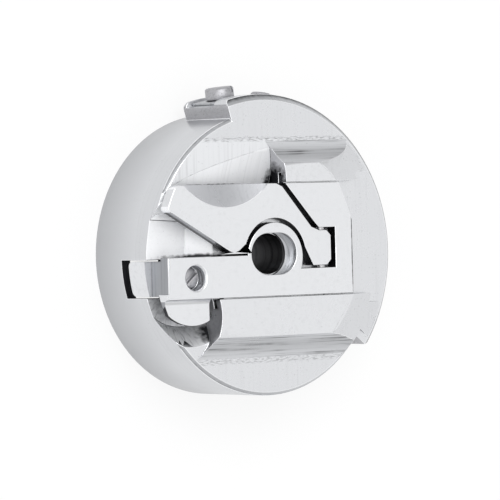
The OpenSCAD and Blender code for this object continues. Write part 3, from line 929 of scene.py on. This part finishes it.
    def ease_sink_end(self, piece: bpy.types.Object) -> None:
        """Lays back the straight end of the countersink beside the lever, as the cutter ran out there."""
        near = 0.12 * MM
        deep = 1.05 * MM
        far_side = 4.2 * MM
        for corner in piece.data.vertices:
            spot = corner.co
            beside = self.sink_y < spot.y < far_side
            if beside and abs(spot.x - self.sink_end) < near and -deep - near < spot.z < 0.0:
                spot.x -= self.ramp * min(1.0, -spot.z / deep)

    def open_sink_corner(self, piece: bpy.types.Object) -> None:
        """Moves the countersink's wall under the lever's tip, where the cutter ran out over the drum's edge."""
        near = 0.12 * MM
        last = 6.4 * MM
        for corner in piece.data.vertices:
            spot = corner.co
            push = self.corner_push * min(1.0, (self.corner_x - spot.x) / self.corner_run)
            across = (self.sink_r - 0.1 * MM + spot.z) ** 2 - (spot.x - self.sink_x) ** 2
            if push <= 0.0 or across <= 0.0 or not -1.05 * MM - near < spot.z < 0.05 * MM:
                continue
            wall = self.sink_y + math.sqrt(across)
            if wall - near < spot.y < last:
                radius = math.hypot(spot.x, spot.y)
                spot.y += push * min(1.0, (last - spot.y) / (last - wall))
                spot.x = -math.sqrt(radius ** 2 - spot.y ** 2)

    def _in_notch(self, at: Vector, normal: Vector) -> bool:
        """True for the walls and the floor of the notch that the tongue drops into."""
        aside = abs(at.y - self.sink_y) > self.notch_w / 2
        if aside or at.x > self.notch_x or not -self.notch_h < at.z < -0.05 * MM:
            return False
        outward = (at.x * normal.x + at.y * normal.y) / math.hypot(at.x, at.y)
        return math.hypot(at.x, at.y) < self.drum_r - 0.02 * MM or outward < 0.5

    def build(self) -> list[bpy.types.Object]:
        """Makes the case and gives each of its faces a finish."""
        cuts = (
            Cut((0.0, 1.0, 0.0), self.line_y),
            Cut((0.0, 1.0, 0.0), self.lever_y),
            Cut((1.0, 0.0, 0.0), self.horn_x),
        )
        piece = machined_copy("case_shell", "case_shell_finished", (Softening(self.edge),), cuts=cuts)
        self.ease_sink_end(piece)
        self.open_sink_corner(piece)
        finishes = {region: self.shop.material(steel) for region, steel in self.finishes().items()}
        dress(piece, finishes, self.region)
        seat(piece, "case_shell")
        return [piece]


@dataclass
class Latch:
    """The slide, the lever and what they hang on.

    Args:
        shop: Makes the materials.
        edge: Width of the softened edges, in metres.
        corner: Width of the rounded corners, in metres.
        top: Height of the top faces of the slide and the lever, in metres.
        arm_end: Place of the arm's end along the slide, in metres.
        eye_y: Middle of the eye across the slide, in metres.
        eye_r: Radius within which the slide's walls are the eye's, in metres.
        screw_x: Place of the stop screw's hole along the slide, in metres.
        screw_y: Its place across the slide, in metres.
        screw_r: Radius within which the slide's walls are that hole's, in metres.
        right: Place along the slide beyond which its right end begins, in metres.
        tip: Place along the slide beyond which the lever's tip begins, in metres.
    """

    shop: SteelShop
    edge: float = 0.08 * MM
    corner: float = 0.4 * MM
    top: float = 1.2 * MM
    arm_end: float = -12.5 * MM
    eye_y: float = -0.3 * MM
    eye_r: float = 3.0 * MM
    screw_x: float = -9.3 * MM
    screw_y: float = -2.0 * MM
    screw_r: float = 1.5 * MM
    right: float = 8.0 * MM
    tip: float = -11.0 * MM

    def finishes(self) -> dict[Region, Steel]:
        """The finish of each region of the slide and the lever."""
        eye = (0.0, self.eye_y, 0.0)
        # Painted shade along the slide's right end.
        end_painted_shade = PaintedShadeSpot((9.27 * MM, 1.0 * MM, self.top), (0.2 * MM, 7.5 * MM, 0.5 * MM))
        return {
            Region.FACE: Steel("latch_polished", (0.82, 0.83, 0.85), 0.17, Grain.CLOUDS, 0.6 * MM,
                               0.0012 * MM, soil=0.04, specks=0.08, shade_spots=(end_painted_shade,)),
            # Lighter than the faces: partly worn bright, partly painted highlight.
            Region.EDGE: Steel("latch_edge", (0.93, 0.94, 0.96), 0.14, Grain.CLOUDS, 0.4 * MM, 0.0005 * MM,
                               soil=0.05),
            Region.SCOOP: Steel("latch_scoop", (0.66, 0.67, 0.7), 0.22, Grain.ALONG_Y, 0.3 * MM, 0.001 * MM,
                                soil=0.1),
            # The lever's outer walls: their dark colour and the film near their foot are painted shade.
            Region.WALL: Steel("latch_wall", (0.4, 0.41, 0.43), 0.2, Grain.ALONG_X, 0.25 * MM, 0.002 * MM,
                               soil=0.4, shade_below=PaintedShadeFilm(0.45 * MM, 0.75 * MM)),
            Region.ARM_END: Steel("latch_arm_end", (0.36, 0.37, 0.39), 0.36, Grain.ALONG_Y, 0.25 * MM,
                                  0.004 * MM, soil=0.8),
            Region.OPEN_END: Steel("latch_open_end", (0.74, 0.75, 0.77), 0.26, Grain.ALONG_Y, 0.25 * MM,
                                   0.002 * MM, soil=0.2),
            Region.TONGUE: Steel("latch_tongue", (0.8, 0.81, 0.83), 0.42, Grain.CLOUDS, 0.4 * MM, 0.001 * MM,
                                 soil=0.1),
            Region.EYE: Steel("latch_eye", (0.62, 0.63, 0.65), 0.3, Grain.RINGS, 0.35 * MM, 0.012 * MM, eye,
                              patch=0.3, soil=1.0),
            # Near-black colour: painted shade in narrow gaps.
            Region.GAP: Steel("latch_gap_painted_shade", (0.035, 0.035, 0.04), 0.4, Grain.CLOUDS, 0.2 * MM, 0.002 * MM),
        }

    def slide_region(self, at: Vector, normal: Vector) -> Region:
        """The region of a face of the slide."""
        upright = abs(normal.z) < 0.4
        if at.x < self.arm_end - 0.1 * MM:
            return Region.TONGUE
        if at.x < self.arm_end + 0.05 * MM and normal.x < -0.5 and at.z > -1.2 * MM:
            return Region.ARM_END
        eye = math.hypot(at.x, at.y - self.eye_y) < self.eye_r
        screw_hole = math.hypot(at.x - self.screw_x, at.y - self.screw_y) < self.screw_r
        lip = eye and 0.0 < at.z < self.top - 0.2 * MM
        if lip or upright and (eye or screw_hole):
            return Region.EYE
        if at.x > self.right and normal.x > 0.3:
            return Region.OPEN_END
        return Region.GAP if upright else Region.FACE

    def lever_region(self, at: Vector, normal: Vector) -> Region:
        """The region of a face of the lever."""
        if abs(normal.z) > 0.4:
            scooped = self.top - 0.01 * MM > at.z > 0.3 * MM and normal.z > 0
            return Region.SCOOP if scooped and at.y > 3.0 * MM else Region.FACE
        if at.x < self.tip and normal.x < -0.7:
            return Region.OPEN_END
        outside = at.x < -3.0 * MM and normal.x < 0.2 or normal.y > 0.5 and at.y > 6.0 * MM
        return Region.WALL if outside else Region.GAP

    def slide(self) -> bpy.types.Object:
        """Makes the slide."""
        rounds = (
            Softening(self.corner, 4, lambda at, along: abs(along.x) > 0.99 and at.z < -3.9 * MM),
            Softening(self.edge, 3, lambda at, along: at.z > self.top - 0.01 * MM),
        )
        piece = machined_copy("slide_plate", "slide_plate_finished", rounds, 0.02 * MM)
        finishes = {region: self.shop.material(steel) for region, steel in self.finishes().items()}
        dress(piece, finishes, self.slide_region)
        seat(piece, "slide_plate")
        return piece

    def lever(self) -> bpy.types.Object:
        """Makes the lever."""
        rounds = (
            Softening(self.corner, 4, lambda at, along: abs(along.z) > 0.99 and at.x < -2.0 * MM),
            Softening(self.edge, 3, lambda at, along: at.z > self.top - 0.01 * MM),
        )
        piece = machined_copy("latch_lever", "latch_lever_finished", rounds, 0.02 * MM)
        finishes = {region: self.shop.material(steel) for region, steel in self.finishes().items()}
        dress(piece, finishes, self.lever_region)
        seat(piece, "latch_lever")
        return piece

    def pin(self) -> bpy.types.Object:
        """Makes the hinge pin."""
        ground = Steel("pin_ground", (0.6, 0.6, 0.61), 0.3, Grain.ALONG_Y, 0.1 * MM, 0.002 * MM)
        return plain_piece(self.shop, "hinge_pin", "hinge_pin_finished", ground, 0.03 * MM)

    def build(self) -> list[bpy.types.Object]:
        """Makes the latch's pieces."""
        return [self.slide(), self.lever(), self.pin()]


@dataclass
class LatchSpring:
    """The coil spring that pushes the slide to its lock.

    Args:
        shop: Makes the material.
        mill: Winds the wire.
        left: Place of the first coil along the slide, in metres.
        y: Place of its axis across the slide, in metres.
        z: Height of its axis, in metres.
        coil_r: Radius of the coils, to the middle of the wire, in metres.
        length: Length from the first coil to the last, in metres.
        turns: Number of turns.
        wire: Radius of the wire, in metres.
        fixed_end: Place of the end that stays with the case, in metres. Not used.
        closed: Share of its length that is left when the slide is at its limit. Not used.
    """

    shop: SteelShop
    mill: WindingMill
    left: float = -4.85 * MM
    y: float = -3.015 * MM
    z: float = 0.1 * MM
    coil_r: float = 0.5 * MM
    length: float = 5.7 * MM
    turns: int = 12
    wire: float = 0.095 * MM
    fixed_end: float = 1.0 * MM
    closed: float = 5.2 / 6.0

    def build(self) -> list[bpy.types.Object]:
        """Winds the spring."""
        drawn = Steel("spring_drawn", (0.55, 0.56, 0.58), 0.25, Grain.CLOUDS, 0.15 * MM, 0.001 * MM, soil=0.2)
        quarter = math.pi / 2
        piece = bpy.data.objects.new("latch_spring_finished", bpy.data.meshes.new("latch_spring_finished"))
        bpy.context.scene.collection.objects.link(piece)
        coil = Winding((self.left, self.y, self.z), (quarter, 0.0, quarter), self.coil_r, self.length,
                       self.length / self.turns, self.wire)
        self.mill.wind(piece, coil, self.shop.material(drawn))
        seat(piece, "latch_spring")
        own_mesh(piece)
        return [piece]


def plain_piece(shop: SteelShop, node: str, name: str, steel: Steel, edge: float) -> bpy.types.Object:
    """Makes a piece that has one finish all over.

    Args:
        shop: Makes the material.
        node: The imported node.
        name: Name of the new piece.
        steel: Its finish.
        edge: Width of the softened edges, in metres.

    Returns:
        The piece.
    """
    piece = machined_copy(node, name, (Softening(edge),))
    piece.data.materials.clear()
    piece.data.materials.append(shop.material(steel))
    seat(piece, node)
    return piece


@dataclass(frozen=True)
class Screw:
    """One of the slotted screws.

    Args:
        node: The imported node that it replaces.
        name: Name of the finished piece.
        under_head: Point of its axis under the head, in metres.
        outward: Direction from the shank to the head, of length one.
        thread_r: Radius of the thread's crest, in metres.
        reach: Length of the shank, in metres.
        colour: Base colour, linear.
        edge: Width of its softened edges, in metres.
    """

    node: str
    name: str
    under_head: tuple[float, float, float]
    outward: tuple[float, float, float]
    thread_r: float
    reach: float
    colour: tuple[float, float, float]
    edge: float = 0.04 * MM


@dataclass
class Screws:
    """The stop screw and the two tension screws, with real threads on their shanks.

    Args:
        shop: Makes the materials.
        mill: Winds the threads.
        thread_h: Height of the threads, in metres.
        pitch: Pitch of the threads, in metres.
        sides: Number of sides of a thread's section.
        side_r: Distance of the tension screws' heads from the drum's axis, in metres.
        side_z: Height of the tension screws, in metres.
    """

    shop: SteelShop
    mill: WindingMill
    thread_h: float = 0.12 * MM
    pitch: float = 0.3 * MM
    sides: int = 6
    side_r: float = 14.79 * MM
    side_z: float = -4.4 * MM

    def on_side(self, degrees: float) -> dict[str, tuple[float, float, float]]:
        """Place and direction of a screw in the drum's side at an angle round the drum."""
        turn = math.radians(degrees)
        outward = (math.cos(turn), math.sin(turn), 0.0)
        under_head = (self.side_r * outward[0], self.side_r * outward[1], self.side_z)
        return {"under_head": under_head, "outward": outward}

    def screws(self) -> tuple[Screw, ...]:
        """The three screws."""
        return (
            Screw("stop_screw", "stop_screw_finished", (-9.3 * MM, -2.0 * MM, -0.6 * MM), (0.0, 0.0, 1.0),
                  0.695 * MM, 2.0 * MM, (0.5, 0.5, 0.52)),
            # The tension screws' dark colours are painted shade.
            Screw("tension_adjusting_screw", "tension_adjusting_screw_finished", **self.on_side(97.0),
                  thread_r=0.7 * MM, reach=2.39 * MM, colour=(0.46, 0.46, 0.48)),
            Screw("tension_fixing_screw", "tension_fixing_screw_finished", **self.on_side(78.0),
                  thread_r=0.695 * MM, reach=2.39 * MM, colour=(0.44, 0.44, 0.46)),
        )

    def thin_shank(self, piece: bpy.types.Object, screw: Screw) -> None:
        """Draws a screw's shank in to the foot of its thread."""
        share = (screw.thread_r - self.thread_h) / screw.thread_r
        outward = Vector(screw.outward)
        for corner in piece.data.vertices:
            off = corner.co - Vector(screw.under_head)
            height = off.dot(outward)
            from_axis = off - outward * height
            if height < 0.02 * MM and from_axis.length < screw.thread_r + 0.03 * MM:
                corner.co = Vector(screw.under_head) + outward * height + from_axis * share

    def cut(self, screw: Screw) -> bpy.types.Object:
        """Makes one screw."""
        turned = Steel(f"{screw.node}_turned", screw.colour, 0.4, Grain.CLOUDS, 0.15 * MM, 0.003 * MM,
                       soil=0.4)
        piece = machined_copy(screw.node, screw.name, (Softening(screw.edge),))
        self.thin_shank(piece, screw)
        outward = Vector(screw.outward)
        length = screw.reach - 3 * self.thread_h
        start = Vector(screw.under_head) - outward * (screw.reach - 1.5 * self.thread_h)
        turned_to = Vector((0.0, 0.0, 1.0)).rotation_difference(outward).to_euler()
        thread = Winding(tuple(start), tuple(turned_to), screw.thread_r - self.thread_h, length, self.pitch,
                         self.thread_h, self.sides)
        self.mill.wind(piece, thread, self.shop.material(turned))
        seat(piece, screw.node)
        return piece

    def build(self) -> list[bpy.types.Object]:
        """Makes the screws."""
        return [self.cut(screw) for screw in self.screws()]


@dataclass
class TensionLeaf:
    """The curved leaf that presses on the thread.

    Args:
        shop: Makes the material.
        edge: Width of the softened edges, in metres.
    """

    shop: SteelShop
    edge: float = 0.05 * MM

    def build(self) -> list[bpy.types.Object]:
        """Makes the leaf."""
        # The leaf's dark colour is painted shade.
        rolled = Steel("leaf_rolled", (0.52, 0.53, 0.55), 0.3, Grain.RINGS, 0.25 * MM, 0.004 * MM, soil=0.4)
        return [plain_piece(self.shop, "tension_spring", "tension_spring_finished", rolled,
                            self.edge)]


@dataclass(frozen=True)
class Panel:
    """A soft panel of the studio, white or grey.

    Args:
        towards: Direction of its middle, of length one.
        inner: Cosine of the angle within which it is full.
        outer: Cosine of the angle at which it ends.
        tone: Its brightness, where 1 is white.
    """

    towards: tuple[float, float, float]
    inner: float
    outer: float
    tone: float


ROOM_TONE = 0.78
PANELS = (
    Panel((0.0, 0.0, 1.0), 0.9, 0.7, 1.05),
    Panel((0.66, 0.0, 0.75), 0.93, 0.72, 0.97),
    Panel((0.98, 0.0, 0.2), 0.94, 0.85, 0.9),
    Panel((0.61, 0.68, 0.39), 0.97, 0.86, 0.6),
    Panel((0.43, -0.76, 0.49), 0.97, 0.9, 0.7),
    Panel((-0.76, 0.0, 0.65), 0.985, 0.9, 1.8),
)


@dataclass
class Studio:
    """Floor, light and camera.

    Args:
        tilt: Angle between the case's axis and the camera's, in degrees.
        lift: Angle of the camera out of the plane of the slide, in degrees.
        roll: Turn of the camera round its own axis, in degrees.
        distance: Distance of the camera from the origin, in metres.
        scale: Pixels per metre at the origin.
        origin_px: Where the origin falls in the photograph, in pixels.
        frame_px: Width of the photograph, in pixels.
        sensor: Width of the camera's sensor, in millimetres.
        glow: Share of the floor's white that shadows leave alone.
    """

    tilt: float = 37.66
    lift: float = 0.76
    roll: float = -1.47
    distance: float = 0.414
    scale: float = 10668.0
    origin_px: tuple[float, float] = (267.8, 253.8)
    frame_px: float = 500.0
    sensor: float = 36.0
    glow: float = 0.8

    def camera(self) -> None:
        """Makes the camera at the photograph's viewing angle."""
        tilt, lift, roll = (math.radians(v) for v in (self.tilt, self.lift, self.roll))
        back = Vector((-math.sin(tilt) * math.cos(lift), math.sin(lift), math.cos(tilt) * math.cos(lift)))
        level = Vector((0.0, 1.0, 0.0)).cross(back).normalized()
        upright = back.cross(level)
        right = math.cos(roll) * level + math.sin(roll) * upright
        up = math.cos(roll) * upright - math.sin(roll) * level
        middle = self.frame_px / 2
        aim = right * ((middle - self.origin_px[0]) / self.scale) + up * ((self.origin_px[1] - middle) / self.scale)
        spot = back * self.distance
        axis = (spot - aim).normalized()
        side = up.cross(axis).normalized()
        turn = Matrix((side, axis.cross(side), axis)).transposed().to_4x4()
        data = bpy.data.cameras.new("camera")
        data.sensor_width = self.sensor
        data.lens = self.scale * self.distance * self.sensor / self.frame_px
        data.clip_start = 0.01
        data.clip_end = 10.0
        eye = bpy.data.objects.new("camera", data)
        eye.matrix_world = Matrix.Translation(spot) @ turn
        bpy.context.scene.collection.objects.link(eye)
        bpy.context.scene.camera = eye

    def floor(self, level: float) -> None:
        """Lays the pale floor.

        Args:
            level: Height of the floor, in metres.
        """
        reach = 2.0
        mesh = bpy.data.meshes.new("floor")
        corners = [(-reach, -reach, level), (reach, -reach, level), (reach, reach, level), (-reach, reach, level)]
        mesh.from_pydata(corners, [], [(0, 1, 2, 3)])
        ground = bpy.data.objects.new("floor", mesh)
        bpy.context.scene.collection.objects.link(ground)
        made = bpy.data.materials.new("floor_white")
        made.use_nodes = True
        made.node_tree.nodes.clear()
        desk = NodeDesk(made.node_tree)
        paths = desk.add("ShaderNodeLightPath")
        shown = desk.math("MAXIMUM", paths.outputs["Is Camera Ray"], paths.outputs["Is Glossy Ray"])
        shown = desk.math("MAXIMUM", shown, paths.outputs["Is Transmission Ray"])
        share = desk.math("MULTIPLY", shown, self.glow)
        matt = desk.add("ShaderNodeBsdfDiffuse", {"Color": (0.93, 0.93, 0.93, 1.0)})
        glow = desk.add("ShaderNodeEmission", {"Color": (1.0, 1.0, 1.0, 1.0), "Strength": 1.0})
        mixed = desk.add("ShaderNodeMixShader", {0: share, 1: matt.outputs[0], 2: glow.outputs[0]})
        desk.add("ShaderNodeOutputMaterial", {"Surface": mixed.outputs[0]})
        mesh.materials.append(made)
        ground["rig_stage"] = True

    def sky(self) -> None:
        """Makes the studio's surroundings: a pale room with soft panels, each laid over the last."""
        world = bpy.data.worlds.new("studio")
        bpy.context.scene.world = world
        world.use_nodes = True
        world.node_tree.nodes.clear()
        desk = NodeDesk(world.node_tree)
        direction = desk.add("ShaderNodeTexCoord").outputs["Generated"]
        tone: object = ROOM_TONE
        for panel in PANELS:
            facing = desk.add("ShaderNodeVectorMath", {0: direction, 1: panel.towards}, operation="DOT_PRODUCT")
            cover = desk.ramp(facing.outputs["Value"], panel.outer, panel.inner)
            tone = desk.add("ShaderNodeMix", {0: cover, 2: tone, 3: panel.tone}).outputs[0]
        light = desk.add("ShaderNodeBackground", {"Color": tone, "Strength": 1.0})
        desk.add("ShaderNodeOutputWorld", {"Surface": light.outputs[0]})

    def lamp(self, name: str, spot: Vector, size: float, power: float) -> None:
        """Hangs a square soft lamp that faces the case.

        Args:
            name: Name of the lamp.
            spot: Its place, in metres.
            size: Its width, in metres.
            power: Its power, in watts.
        """
        data = bpy.data.lights.new(name, "AREA")
        data.shape = "SQUARE"
        data.size = size
        data.energy = power
        hung = bpy.data.objects.new(name, data)
        hung.matrix_world = Matrix.Translation(spot) @ spot.to_track_quat("Z", "Y").to_matrix().to_4x4()
        bpy.context.scene.collection.objects.link(hung)

    def build(self, level: float) -> None:
        """Builds the studio round the case."""
        self.camera()
        self.floor(level)
        self.sky()
        self.lamp("key_lamp", Vector((-0.15, 0.2, 0.4)), 0.25, 0.6)
        bpy.context.scene.view_settings.view_transform = "Standard"


def corners() -> list[list[float]]:
    """The lowest and highest corner of what shows now, as plain numbers."""
    return [list(corner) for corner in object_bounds()]


def main() -> None:
    """Builds the dressed case and its studio."""
    logging.basicConfig(level=logging.INFO, format="%(name)s: %(message)s")
    cad_box = corners()
    Studio().build(cad_box[0][2])
    shop = SteelShop()
    mill = WindingMill()
    parts = (CaseBody(shop), Latch(shop), LatchSpring(shop, mill), Screws(shop, mill), TensionLeaf(shop))
    made = [piece for part in parts for piece in part.build()]
    for piece in made:
        log.info("%s has %d faces", piece.name, len(piece.data.polygons))


if __name__ == "__main__":
    main()
